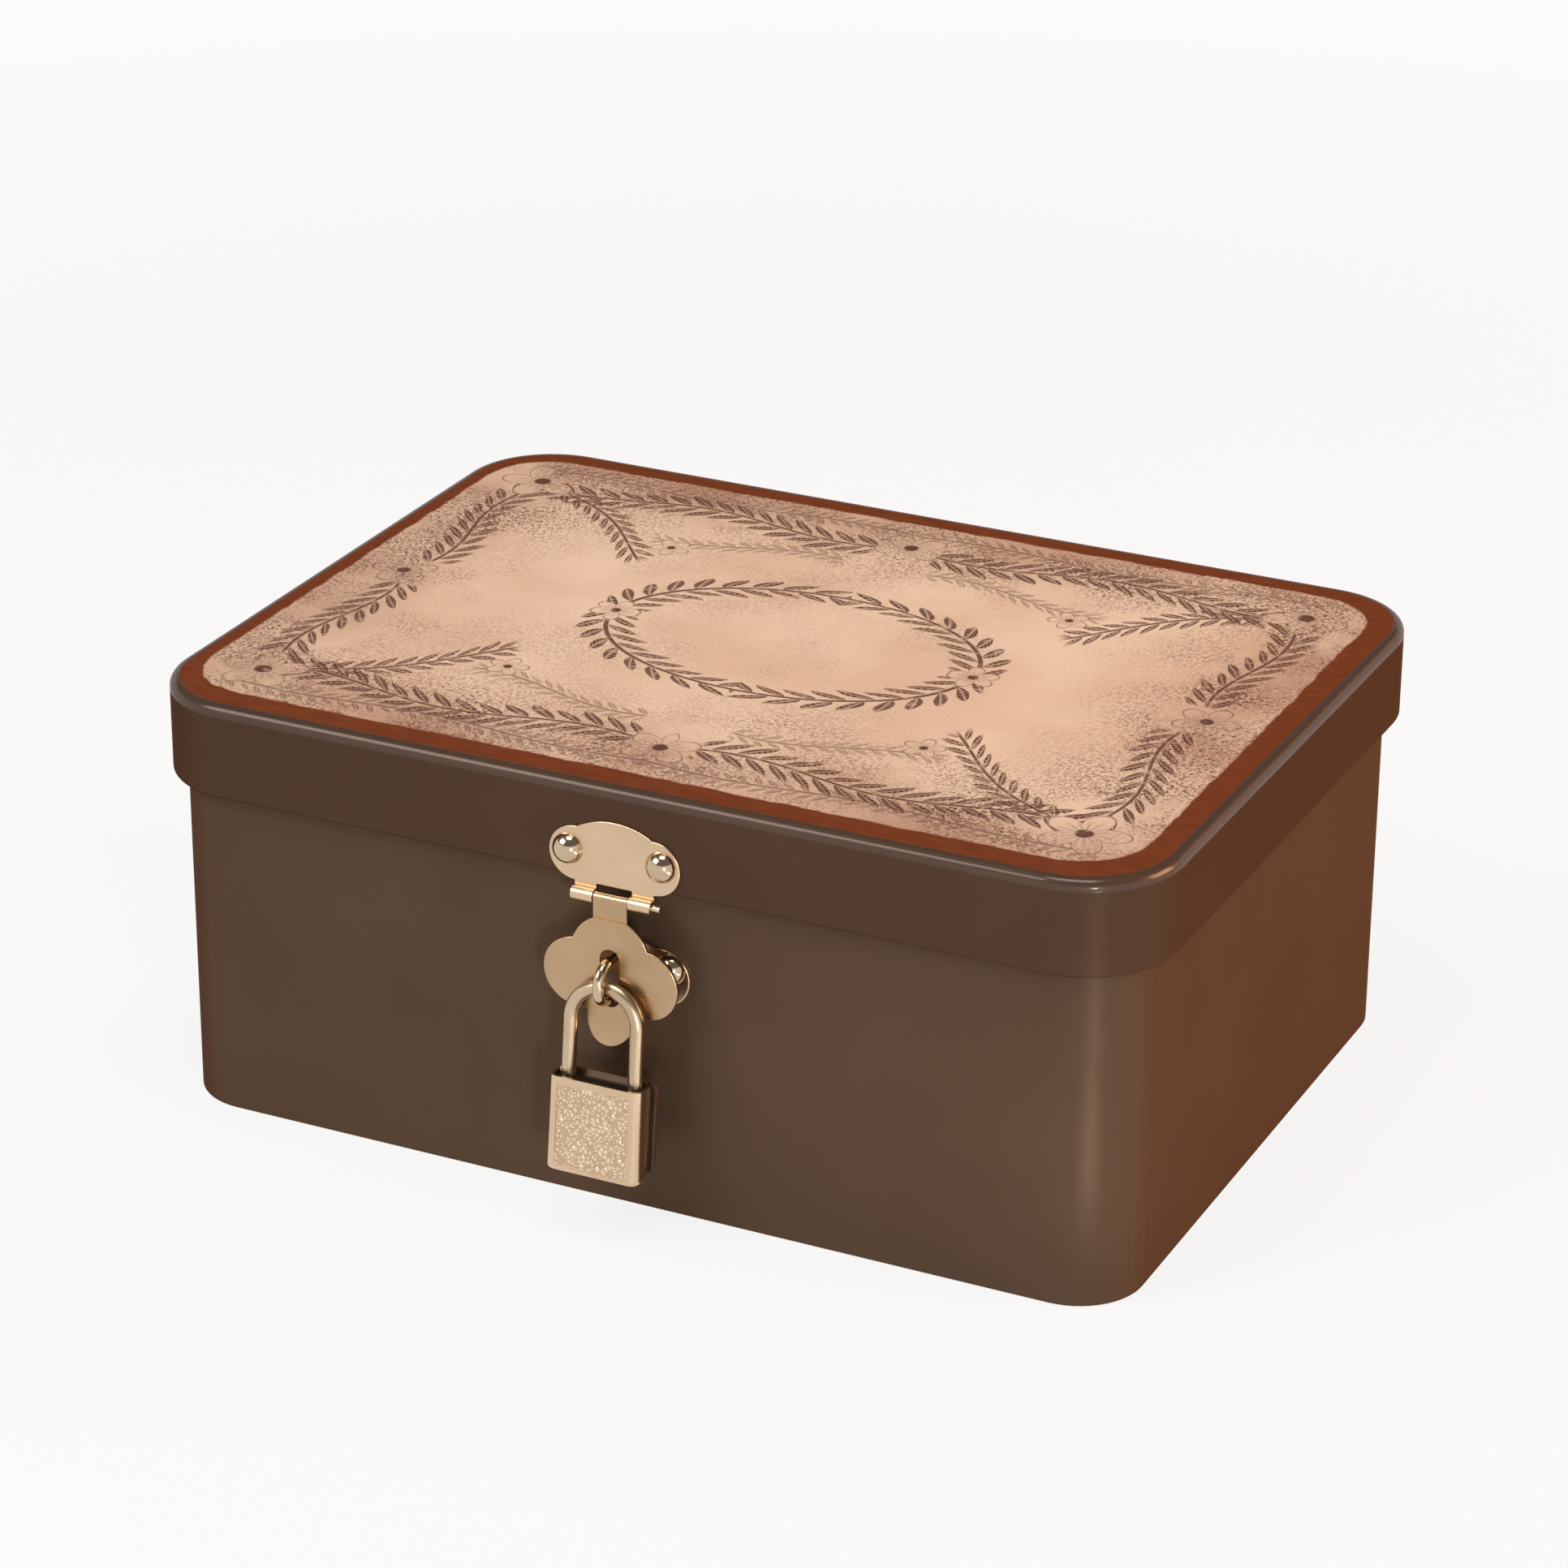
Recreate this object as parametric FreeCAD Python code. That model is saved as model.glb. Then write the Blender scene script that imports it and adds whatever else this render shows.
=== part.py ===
import FreeCAD, Part
import math
import os

from FreeCAD import Rotation, Vector

# Tin storage box with a hinged lid, a riveted hasp and a small padlock. Millimetres, +X to the right along
# the front, +Y to the back, +Z up. The pieces are drawn round the middle of the box and then moved along Y,
# so that the origin lies under the middle of the whole, padlock included.

# Box and lid, pressed from thin tinplate
LID_LENGTH = 250.0
LID_DEPTH = 183.8
BOX_HEIGHT = 105.7
LID_HEIGHT = 23.2
LID_OVERHANG = 4.4
BODY_CORNER = 16.2
LID_CORNER = 22.8
SHEET = 0.35
LID_EDGE = 2.2
HEM_RADIUS = 1.1
RIM_RADIUS = 1.2
FOOT_RADIUS = 0.9
FLANGE = 5.0
BASE_RISE = 2.4
BASE_STEP = 2.0
SEAM_WIDTH = 7.0
SEAM_GROOVE = 0.3
LID_GAP = 0.3
FIT = 0.05

# Wire hinges in the rear hem of the lid
HINGE_SHARE = 0.56
CLIP_WIDTH = 16.0
CLIP_SHEET = 0.6
CLIP_FLAT = 16.0
CLIP_JOGGLE = 4.5
CLIP_SIDE_GAP = 1.0
WINDOW_HEADROOM = 1.6
WIRE_GRIP = 8.0
HINGE_RIVET_HEAD = 2.4
HINGE_RIVET_RISE = 1.3
HINGE_RIVET_SHANK = 1.1
HINGE_RIVET_SPACING = 9.0

# Hasp: plate on the lid, pin and swinging leaf
HASP_SHEET = 0.8
NECK_SHEET = 0.5
EDGE_ROUND = 0.3
PIN_RADIUS = 0.75
PIN_DROP = 3.1
PIN_END = 2.1
KNUCKLE_LENGTH = 5.4
KNUCKLE_GAP = 0.25
NECK_WIDTH = 8.4
PLATE_LOBE_RADIUS = 6.6
PLATE_LOBE_X = 9.7
PLATE_ARCH_RADIUS = 18.0
PLATE_HEIGHT = 15.8
PLATE_BOTTOM = 2.5
RIVET_X = 11.6
RIVET_RISE_ABOVE_LOBE = 0.8
RIVET_HEAD = 3.75
RIVET_DOME = 2.9
RIVET_SHANK = 1.6
RIVET_TAIL = 2.8
RIVET_TAIL_HEIGHT = 0.8
LEAF_STEP = 0.35
LEAF_ARCH_RADIUS = 9.75
LEAF_ARCH_DROP = 13.35
LEAF_LOBE_RADIUS = 8.5
LEAF_LOBE_X = 8.3
LEAF_LOBE_DROP = 18.85
TAB_SIDE_ROOM = 0.9
TAB_DROP = 34.95
TAB_BEND = 18.0
TAB_BEND_DROP = 26.9

# Staple on the box front, with its riveted plate
STAPLE_WIRE = 1.25
STAPLE_DROP = 18.95
STAPLE_REACH = 7.0
STAPLE_PEEN = 2.0
STAPLE_PEEN_HEIGHT = 0.8
SLOT_SIDE_GAP = 1.25
SLOT_TOP_GAP = 1.6
SLOT_BOTTOM_GAP = 1.2
STAPLE_PLATE_DROP = 19.5
STAPLE_LOBE_RADIUS = 7.0
STAPLE_LOBE_X = 9.4
STAPLE_ARCH_RADIUS = 16.0
STAPLE_PLATE_HEIGHT = 17.5
STAPLE_RIVET_X = 11.6
STAPLE_RIVET_RISE = 2.4

# Padlock, hung by its shackle in the staple
SHACKLE_WIRE = 1.65
LEG_INSET = 3.25
SHACKLE_HEIGHT = 21.8
EYE_ROOM = 3.1
CROWN_OFFSET = 0.85
PADLOCK_LEAN = 6.0
CASE_WIDTH = 23.2
CASE_HEIGHT = 22.8
CASE_DEPTH = 8.2
CASE_EDGE = 2.3
CASE_FOOT_EDGE = 1.0
CASE_SHEET = 0.8
FRONT_SHELL_DEPTH = 5.0
BACK_SHEET = 1.2
BACK_CORNER = 2.4
BACK_MARGIN = 0.8
BACK_RISE = 0.3
BACK_LIFT = 1.2
CORE_SINK = 0.6
CORE_GAP = 0.1
PANEL_SINK = 0.2
PANEL_SIDE = 2.5
PANEL_TOP = 1.8
PANEL_FOOT = 0.4
BORE_GAP = 0.08
TOE_DEPTH = 4.7
HEEL_DEPTH = 13.0
SPRING_ROOM = 6.0
TIP_CHAMFER = 0.4
RELEASE = 5.0
LATCH_BITE = 0.5
LATCH_HEIGHT = 1.6
LATCH_DEPTH = 1.0
LATCH_WIDTH = 4.0
LATCH_SPRING_ROOM = 3.82
NOSE_WIDTH = 2.4
NOSE_LENGTH = 1.8
LATCH_GAP = 0.1
NOTCH_PLAY = 1.3
PLUG_RADIUS = 2.4
KEYWAY_WIDTH = 0.8
KEYWAY_LENGTH = 3.4
KEYWAY_DEPTH = 12.0
CRANK_RADIUS = 1.7
CRANK_PIN = 0.6
CRANK_GAP = 0.12
CRANK_HEIGHT = 1.3
HEEL_PIN = 0.7
HEEL_PIN_BITE = 0.6
HEEL_PIN_DEPTH = 6.0
LATCH_SPRING_COIL = 0.55
LATCH_SPRING_WIRE = 0.15
LATCH_SPRING_TURNS = 4
SHACKLE_SPRING_COIL = 1.15
SHACKLE_SPRING_WIRE = 0.25
SHACKLE_SPRING_TURNS = 4

# Places that follow from the sizes above
body_length = LID_LENGTH - 2 * LID_OVERHANG
body_depth = LID_DEPTH - 2 * LID_OVERHANG
lid_low = BOX_HEIGHT - LID_HEIGHT
rim_top = BOX_HEIGHT - SHEET - LID_GAP
lid_front = -LID_DEPTH / 2
body_front = -body_depth / 2
hinge_spacing = HINGE_SHARE * LID_LENGTH
hinge_y = LID_DEPTH / 2 - HEM_RADIUS
hinge_z = lid_low + HEM_RADIUS
wire_radius = HEM_RADIUS - SHEET - FIT
barrel_radius = HEM_RADIUS - SHEET + CLIP_SHEET
window_top = hinge_z + barrel_radius + WINDOW_HEADROOM

knuckle = PIN_RADIUS + FIT + HASP_SHEET
pin_y = lid_front - knuckle
pin_z = lid_low - PIN_DROP
plate_front = lid_front - HASP_SHEET
neck_knuckle = PIN_RADIUS + FIT + NECK_SHEET
leaf_front = pin_y - neck_knuckle - LEAF_STEP
staple_spacing = 2 * SHACKLE_WIRE + EYE_ROOM + 2 * STAPLE_WIRE
staple_z = pin_z - STAPLE_DROP
staple_end = leaf_front - STAPLE_REACH
eye_y = staple_end + STAPLE_WIRE + staple_spacing / 2
staple_plate_front = body_front - HASP_SHEET
staple_plate_z = pin_z - STAPLE_PLATE_DROP
staple_rivet_z = staple_plate_z + STAPLE_RIVET_RISE

# The shackle's crown lies low in the outer bend of the staple's eye.
crown_room = EYE_ROOM / 2 - LATCH_GAP
crown_y = eye_y - CROWN_OFFSET
crown_z = staple_z - math.sqrt(crown_room ** 2 - CROWN_OFFSET ** 2)
leg_x = CASE_WIDTH / 2 - LEG_INSET
case_top = -SHACKLE_HEIGHT
case_low = case_top - CASE_HEIGHT
case_front = -CASE_DEPTH / 2
core_top = case_top - CORE_SINK
core_low = case_low + CASE_SHEET + CORE_GAP
core_back = CASE_DEPTH / 2 - BACK_SHEET
latch_top = core_top - LATCH_DEPTH
latch_low = latch_top - LATCH_HEIGHT
latch_tip = -leg_x + SHACKLE_WIRE - LATCH_BITE
latch_room_end = leg_x - SHACKLE_WIRE - BORE_GAP - CASE_SHEET
latch_end = latch_room_end - LATCH_SPRING_ROOM
latch_travel = math.sqrt(2) * CRANK_RADIUS
crank_offset = CRANK_RADIUS / math.sqrt(2)


def polygon(points):
    """A flat face inside a closed run of straight edges."""
    return Part.Face(Part.makePolygon(points + [points[0]]))


def arc(centre, radius, start, end):
    """An arc in the XZ plane, between two angles in degrees."""
    spots = []
    for angle in (start, (start + end) / 2, end):
        turn = math.radians(angle)
        spots.append(Vector(centre[0] + radius * math.cos(turn), 0, centre[1] + radius * math.sin(turn)))
    return Part.Arc(*spots).toShape()


def outline(curves):
    """A flat face bounded by the given edges, joined end to end by straight lines where they leave gaps."""
    edges = []
    for number, curve in enumerate(curves):
        following = curves[(number + 1) % len(curves)]
        edges.append(curve)
        start = curve.lastVertex(True).Point
        end = following.firstVertex(True).Point
        if start.distanceToPoint(end) > 1e-6:
            edges.append(Part.makeLine(start, end))
    return Part.Face(Part.Wire(edges))


def line(x0, z0, x1, z1):
    """A straight edge in the XZ plane."""
    return Part.makeLine(Vector(x0, 0, z0), Vector(x1, 0, z1))


def box(x0, x1, y0, y1, z0, z1):
    """A block between two corners."""
    return Part.makeBox(x1 - x0, y1 - y0, z1 - z0, Vector(x0, y0, z0))


def cylinder_x(radius, x0, x1, y, z):
    """A rod along X."""
    return Part.makeCylinder(radius, x1 - x0, Vector(x0, y, z), Vector(1, 0, 0))


def cylinder_y(radius, y0, y1, x, z):
    """A rod along Y."""
    return Part.makeCylinder(radius, y1 - y0, Vector(x, y0, z), Vector(0, 1, 0))


def cylinder_z(radius, z0, z1, x, y):
    """A rod along Z."""
    return Part.makeCylinder(radius, z1 - z0, Vector(x, y, z0), Vector(0, 0, 1))


def fused(shapes):
    """One solid from pieces that overlap or share faces."""
    return shapes[0].multiFuse(shapes[1:]).removeSplitter()


def carried_round(profile, length, depth, corner):
    """Carry a profile round a rounded rectangle. In the profile, x is 0 on the outline and negative inside."""
    solids = []
    for quarter in range(4):
        across, along = (length, depth) if quarter % 2 == 0 else (depth, length)
        reach = across / 2
        half = along / 2 - corner
        side = profile.translated(Vector(reach, -half, 0)).extrude(Vector(0, 2 * half, 0))
        turn = profile.translated(Vector(reach, half, 0))
        turn = turn.revolve(Vector(reach - corner, half, 0), Vector(0, 0, 1), 90)
        for solid in (side, turn):
            solids.append(solid.rotated(Vector(0, 0, 0), Vector(0, 0, 1), 90 * quarter))
    return fused(solids)


def rounded_slab(length, depth, corner, low, high):
    """A flat plate with round corners."""
    slab = box(-length / 2, length / 2, -depth / 2, depth / 2, low, high)
    upright = [edge for edge in slab.Edges if abs(edge.tangentAt(edge.FirstParameter).z) > 0.9]
    return slab.makeFillet(corner, upright)


def rivet(head, dome, shank, grip, tail, tail_height):
    """A domed rivet along Z, its head seated at z = 0 and its tail spread below the sheets it holds."""
    sphere = (head ** 2 + dome ** 2) / (2 * dome)
    edge = math.degrees(math.asin((dome - sphere) / -sphere))
    half = outline([
        arc((0, dome - sphere), sphere, 90, edge),
        line(shank, 0, shank, -grip),
        line(tail, -grip, tail, -grip - tail_height),
        line(0, -grip - tail_height, 0, dome),
    ])
    return half.revolve(Vector(0, 0, 0), Vector(0, 0, 1), 360)


def facing_front(shape, x, y, z):
    """Turn a piece drawn along Z so that its top faces the front, and place it."""
    return shape.rotated(Vector(0, 0, 0), Vector(1, 0, 0), 90).translated(Vector(x, y, z))


def facing_back(shape, x, y, z):
    """Turn a piece drawn along Z so that its top faces the back, and place it."""
    return shape.rotated(Vector(0, 0, 0), Vector(1, 0, 0), -90).translated(Vector(x, y, z))


def coil(radius, wire, turns, height):
    """An open coil spring along Z, standing on z = 0."""
    path = Part.makeHelix((height - 2 * wire) / turns, height - 2 * wire, radius)
    ring = Part.Wire(Part.makeCircle(wire, Vector(radius, 0, 0), Vector(0, 1, 0)))
    shell = Part.BRepOffsetAPI.MakePipeShell(Part.Wire(path.Edges))
    shell.setFrenetMode(True)
    shell.add(ring)
    shell.build()
    shell.makeSolid()
    return shell.shape().translated(Vector(0, 0, wire))


def lobed_plate(lobe_x, lobe_radius, arch_radius, lobe_z, top, front, back, mirrored):
    """A stamped plate between two round lobes, with an arched top and a straight or arched bottom."""
    arch_z = top - arch_radius
    rise = arch_z - lobe_z
    gap = math.hypot(lobe_x, rise)
    along = (lobe_radius ** 2 - arch_radius ** 2 + gap ** 2) / (2 * gap)
    across = math.sqrt(lobe_radius ** 2 - along ** 2)
    notch_x = lobe_x - along * lobe_x / gap + across * rise / gap
    notch_z = lobe_z + along * rise / gap + across * lobe_x / gap
    lobe_angle = math.degrees(math.atan2(notch_z - lobe_z, notch_x - lobe_x))
    arch_angle = math.degrees(math.atan2(notch_z - arch_z, notch_x))
    lobe_start = -lobe_angle if mirrored else -90
    curves = [
        arc((lobe_x, lobe_z), lobe_radius, lobe_start, lobe_angle),
        arc((0, arch_z), arch_radius, arch_angle, 180 - arch_angle),
        arc((-lobe_x, lobe_z), lobe_radius, 180 - lobe_angle, 180 - lobe_start),
    ]
    if mirrored:
        curves.append(arc((0, 2 * lobe_z - arch_z), arch_radius, arch_angle - 180, -arch_angle))
    face = outline(curves).translated(Vector(0, front, 0))
    plate = face.extrude(Vector(0, back - front, 0))
    rims = [edge for edge in plate.Edges if edge.BoundBox.YMax < (front + back) / 2]
    return plate.makeFillet(EDGE_ROUND, rims)


def make_body_wall():
    """The side wall: one bent strip, rolled in at the top, flanged at the foot and lock-seamed at the back."""
    rim_z = rim_top - RIM_RADIUS
    inside = RIM_RADIUS - SHEET
    profile = outline([
        line(-FLANGE, 0, -FOOT_RADIUS, 0),
        arc((-FOOT_RADIUS, FOOT_RADIUS), FOOT_RADIUS, -90, 0),
        arc((-RIM_RADIUS, rim_z), RIM_RADIUS, 0, 270),
        arc((-RIM_RADIUS, rim_z), inside, 270, 0),
        arc((-FOOT_RADIUS, FOOT_RADIUS), FOOT_RADIUS - SHEET, 0, -90),
        line(-FLANGE, SHEET, -FLANGE, 0),
    ])
    wall = carried_round(profile, body_length, body_depth, BODY_CORNER)
    back = body_depth / 2
    seam_low = BASE_RISE + 2 * SHEET + LID_GAP
    seam_high = rim_top - 2 * RIM_RADIUS - LID_GAP
    seam_face = back - 3 * SHEET
    seam = box(-SEAM_WIDTH / 2, SEAM_WIDTH / 2, seam_face, back - SHEET / 2, seam_low, seam_high)
    groove_x = SEAM_WIDTH / 2
    groove = box(groove_x, groove_x + SEAM_GROOVE, back - SHEET / 3, back + 1, FOOT_RADIUS, rim_top - RIM_RADIUS)
    wall = wall.fuse(seam).cut(groove)
    holes = []
    for side in (-1, 1):
        holes.append(cylinder_y(RIVET_SHANK, body_front - 1, body_front + 2, side * STAPLE_RIVET_X, staple_rivet_z))
        leg = staple_z + side * staple_spacing / 2
        holes.append(cylinder_y(STAPLE_WIRE + FIT, body_front - 1, body_front + 2, 0, leg))
        for x in hinge_rivet_places(side):
            holes.append(cylinder_y(HINGE_RIVET_SHANK, back - 2, back + 1, x, hinge_rivet_z()))
    return wall.cut(holes).removeSplitter()


def make_base_panel():
    """The bottom: a pressed panel that steps up from a rim lying on the wall's flange."""
    rim = FOOT_RADIUS + LID_GAP
    inner = FLANGE + BASE_STEP
    profile = polygon([
        Vector(-rim, 0, SHEET),
        Vector(-rim, 0, 2 * SHEET),
        Vector(-FLANGE, 0, 2 * SHEET),
        Vector(-inner, 0, BASE_RISE + SHEET),
        Vector(-inner, 0, BASE_RISE),
        Vector(-FLANGE, 0, SHEET),
    ])
    edge = carried_round(profile, body_length, body_depth, BODY_CORNER)
    middle = rounded_slab(
        body_length - 2 * inner, body_depth - 2 * inner, BODY_CORNER - inner, BASE_RISE, BASE_RISE + SHEET
    )
    return fused([edge, middle])


def make_lid_shell():
    """The lid: one drawn cover with a round top edge and a lower edge rolled in over the hinge wires."""
    hem_inside = HEM_RADIUS - SHEET
    edge_z = BOX_HEIGHT - LID_EDGE
    profile = outline([
        arc((-LID_EDGE, edge_z), LID_EDGE, 90, 0),
        arc((-HEM_RADIUS, hinge_z), HEM_RADIUS, 0, -270),
        arc((-HEM_RADIUS, hinge_z), hem_inside, -270, 0),
        arc((-LID_EDGE, edge_z), LID_EDGE - SHEET, 0, 90),
    ])
    skirt = carried_round(profile, LID_LENGTH, LID_DEPTH, LID_CORNER)
    top = rounded_slab(
        LID_LENGTH - 2 * LID_EDGE, LID_DEPTH - 2 * LID_EDGE, LID_CORNER - LID_EDGE, BOX_HEIGHT - SHEET, BOX_HEIGHT
    )
    cuts = []
    half_window = CLIP_WIDTH / 2 + CLIP_SIDE_GAP
    hem_face = LID_DEPTH / 2 - 2 * HEM_RADIUS - FIT
    for side in (-1, 1):
        x = side * hinge_spacing / 2
        cuts.append(
            box(x - half_window, x + half_window, hem_face, LID_DEPTH / 2 + 1, lid_low - 1, window_top)
        )
        cuts.append(cylinder_y(RIVET_SHANK, lid_front - 1, lid_front + 1, side * RIVET_X, lid_rivet_z()))
    return fused([skirt, top]).cut(cuts)


def lid_rivet_z():
    """Height of the two rivets on the lid."""
    return pin_z + PLATE_BOTTOM + PLATE_LOBE_RADIUS + RIVET_RISE_ABOVE_LOBE


def hinge_rivet_z():
    """Height of the small rivets that hold the hinge clips."""
    return hinge_z - barrel_radius - CLIP_JOGGLE - CLIP_FLAT / 2


def hinge_rivet_places(side):
    """Where the two rivets of one clip lie along X."""
    middle = side * hinge_spacing / 2
    return (middle - HINGE_RIVET_SPACING / 2, middle + HINGE_RIVET_SPACING / 2)


def make_hinge_clip(side):
    """A bent strip, riveted to the back of the box, whose upper end is rolled round the hinge wire."""
    back = body_depth / 2
    joggle_top = hinge_z - barrel_radius
    joggle_low = joggle_top - CLIP_JOGGLE
    near = hinge_y - barrel_radius
    strip = polygon([
        Vector(0, back, joggle_low - CLIP_FLAT),
        Vector(0, back + CLIP_SHEET, joggle_low - CLIP_FLAT),
        Vector(0, back + CLIP_SHEET, joggle_low),
        Vector(0, near + CLIP_SHEET, joggle_top),
        Vector(0, near + CLIP_SHEET, hinge_z),
        Vector(0, near, hinge_z),
        Vector(0, near, joggle_top),
        Vector(0, back, joggle_low),
    ]).extrude(Vector(CLIP_WIDTH, 0, 0))
    start = side * hinge_spacing / 2 - CLIP_WIDTH / 2
    barrel = cylinder_x(barrel_radius, start, start + CLIP_WIDTH, hinge_y, hinge_z)
    bore = cylinder_x(wire_radius + FIT, start - 1, start + CLIP_WIDTH + 1, hinge_y, hinge_z)
    clip = fused([strip.translated(Vector(start, 0, 0)), barrel]).cut(bore)
    holes = []
    for x in hinge_rivet_places(side):
        holes.append(cylinder_y(HINGE_RIVET_SHANK, back - 1, back + 2, x, hinge_rivet_z()))
    return clip.cut(holes)


def make_hinge_wire(side):
    """A straight wire, caught in the rolled hem on both sides of the window."""
    middle = side * hinge_spacing / 2
    half = CLIP_WIDTH / 2 + CLIP_SIDE_GAP + WIRE_GRIP
    return cylinder_x(wire_radius, middle - half, middle + half, hinge_y, hinge_z)


def make_hinge_rivets():
    """The four small rivets of the two hinge clips."""
    grip = CLIP_SHEET + SHEET
    one = rivet(
        HINGE_RIVET_HEAD, HINGE_RIVET_RISE, HINGE_RIVET_SHANK, grip, 2 * HINGE_RIVET_SHANK, RIVET_TAIL_HEIGHT
    )
    rivets = []
    for side in (-1, 1):
        for x in hinge_rivet_places(side):
            rivets.append(facing_back(one, x, body_depth / 2 + CLIP_SHEET, hinge_rivet_z()))
    return Part.Compound(rivets)


def make_hasp_plate():
    """The upper hasp plate: a lobed stamping with two knuckles rolled from its lower edge."""
    bottom = pin_z + PLATE_BOTTOM
    lobe_z = bottom + PLATE_LOBE_RADIUS
    plate = lobed_plate(
        PLATE_LOBE_X, PLATE_LOBE_RADIUS, PLATE_ARCH_RADIUS, lobe_z, bottom + PLATE_HEIGHT, plate_front, lid_front,
        False,
    )
    shapes = [plate]
    bores = []
    inner = NECK_WIDTH / 2 + KNUCKLE_GAP
    for side in (-1, 1):
        x0, x1 = sorted((side * inner, side * (inner + KNUCKLE_LENGTH)))
        shapes.append(box(x0, x1, plate_front, lid_front, pin_z, bottom + 1))
        shapes.append(cylinder_x(knuckle, x0, x1, pin_y, pin_z))
        bores.append(cylinder_x(PIN_RADIUS + FIT, x0 - 1, x1 + 1, pin_y, pin_z))
        bores.append(cylinder_y(RIVET_SHANK, plate_front - 1, lid_front + 1, side * RIVET_X, lid_rivet_z()))
    return fused(shapes).cut(bores)


def make_hasp_pin():
    """The hinge pin of the hasp, which stands out a little on the right."""
    end = NECK_WIDTH / 2 + KNUCKLE_GAP + KNUCKLE_LENGTH
    return cylinder_x(PIN_RADIUS, -end, end + PIN_END, pin_y, pin_z)


def make_hasp_leaf():
    """The swinging leaf: knuckle, neck and step, a lobed plate with its slot, and a finger tab curled outwards."""
    lobe_z = pin_z - LEAF_LOBE_DROP
    arch_z = pin_z - LEAF_ARCH_DROP
    leaf_top = arch_z + math.sqrt(LEAF_ARCH_RADIUS ** 2 - (NECK_WIDTH / 2) ** 2)
    leaf_back = leaf_front + HASP_SHEET
    neck_front = pin_y - neck_knuckle
    neck_back = neck_front + NECK_SHEET
    half_tab = leg_x - SHACKLE_WIRE - TAB_SIDE_ROOM
    bend_z = pin_z - TAB_BEND_DROP
    tip_z = pin_z - TAB_DROP

    # Seen from the front: two lobes, a round shoulder cut off at the neck, and the tab with a round end
    far = lobe_z - LEAF_LOBE_RADIUS
    lobes = [cylinder_y(LEAF_LOBE_RADIUS, 0, 1, side * LEAF_LOBE_X, lobe_z) for side in (-1, 1)]
    between = box(-LEAF_LOBE_X, LEAF_LOBE_X, 0, 1, far, lobe_z)
    shoulder = cylinder_y(LEAF_ARCH_RADIUS, 0, 1, 0, arch_z)
    tab = box(-half_tab, half_tab, 0, 1, tip_z + half_tab, lobe_z)
    tip = cylinder_y(half_tab, 0, 1, 0, tip_z + half_tab)
    front_view = fused(lobes + [between, shoulder, tab, tip])
    front_view = front_view.cut(box(-LID_LENGTH, LID_LENGTH, -1, 2, leaf_top, BOX_HEIGHT))
    front_view = max(front_view.Faces, key=lambda face: face.CenterOfMass.y)
    stamping = front_view.translated(Vector(0, leaf_front - half_tab, 0)).extrude(Vector(0, TAB_BEND, 0))

    # Seen from the side: a flat sheet, whose lower end follows an arc away from the box
    bend_y = leaf_front - TAB_BEND
    flat = box(-LID_LENGTH, LID_LENGTH, leaf_front, leaf_back, bend_z, leaf_top)
    outer = cylinder_x(TAB_BEND + HASP_SHEET, -LID_LENGTH, LID_LENGTH, bend_y, bend_z)
    curl = outer.cut(cylinder_x(TAB_BEND, -2 * LID_LENGTH, 2 * LID_LENGTH, bend_y, bend_z))
    curl = curl.common(box(-LID_LENGTH, LID_LENGTH, bend_y, BOX_HEIGHT, bend_z - TAB_BEND, bend_z))
    sheet = stamping.common(fused([flat, curl]))

    # The press leaves the curved outline soft on the front.
    rims = []
    for edge in sheet.Edges:
        middle = edge.valueAt((edge.FirstParameter + edge.LastParameter) / 2)
        below = max(bend_z - middle.z, 0)
        in_front = abs(math.hypot(middle.y - bend_y, below) - TAB_BEND) < FIT
        if in_front and not isinstance(edge.Curve, Part.Line):
            rims.append(edge)
    sheet = sheet.makeFillet(EDGE_ROUND, rims)

    half_neck = NECK_WIDTH / 2
    neck = box(-half_neck, half_neck, neck_front, neck_back, leaf_top - HASP_SHEET, pin_z)
    joggle = box(-half_neck, half_neck, leaf_front, neck_back, leaf_top - HASP_SHEET, leaf_top)
    barrel = cylinder_x(neck_knuckle, -half_neck, half_neck, pin_y, pin_z)
    bore = cylinder_x(PIN_RADIUS + FIT, -LID_LENGTH, LID_LENGTH, pin_y, pin_z)

    half_slot = STAPLE_WIRE + SLOT_SIDE_GAP
    reach = staple_spacing / 2 + STAPLE_WIRE
    slot_top = staple_z + reach + SLOT_TOP_GAP - half_slot
    slot_low = staple_z - reach - SLOT_BOTTOM_GAP + half_slot
    slot = fused([
        box(-half_slot, half_slot, leaf_front - 1, leaf_back + 1, slot_low, slot_top),
        cylinder_y(half_slot, leaf_front - 1, leaf_back + 1, 0, slot_top),
        cylinder_y(half_slot, leaf_front - 1, leaf_back + 1, 0, slot_low),
    ])
    return fused([sheet, neck, joggle, barrel]).cut([bore, slot])


def make_front_rivet(x, y, z):
    """A domed rivet through a hasp plate and the tin behind it."""
    one = rivet(RIVET_HEAD, RIVET_DOME, RIVET_SHANK, HASP_SHEET + SHEET, RIVET_TAIL, RIVET_TAIL_HEIGHT)
    return facing_front(one, x, y, z)


def make_staple_plate():
    """The lower plate, lobed like the leaf, that spreads the staple's pull over the thin wall."""
    plate = lobed_plate(
        STAPLE_LOBE_X, STAPLE_LOBE_RADIUS, STAPLE_ARCH_RADIUS, staple_plate_z,
        staple_plate_z + STAPLE_PLATE_HEIGHT / 2, staple_plate_front, body_front, True,
    )
    holes = []
    for side in (-1, 1):
        holes.append(
            cylinder_y(RIVET_SHANK, body_front - 2, body_front + 1, side * STAPLE_RIVET_X, staple_rivet_z)
        )
        leg = staple_z + side * staple_spacing / 2
        holes.append(cylinder_y(STAPLE_WIRE + FIT, body_front - 2, body_front + 1, 0, leg))
    return plate.cut(holes)


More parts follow.
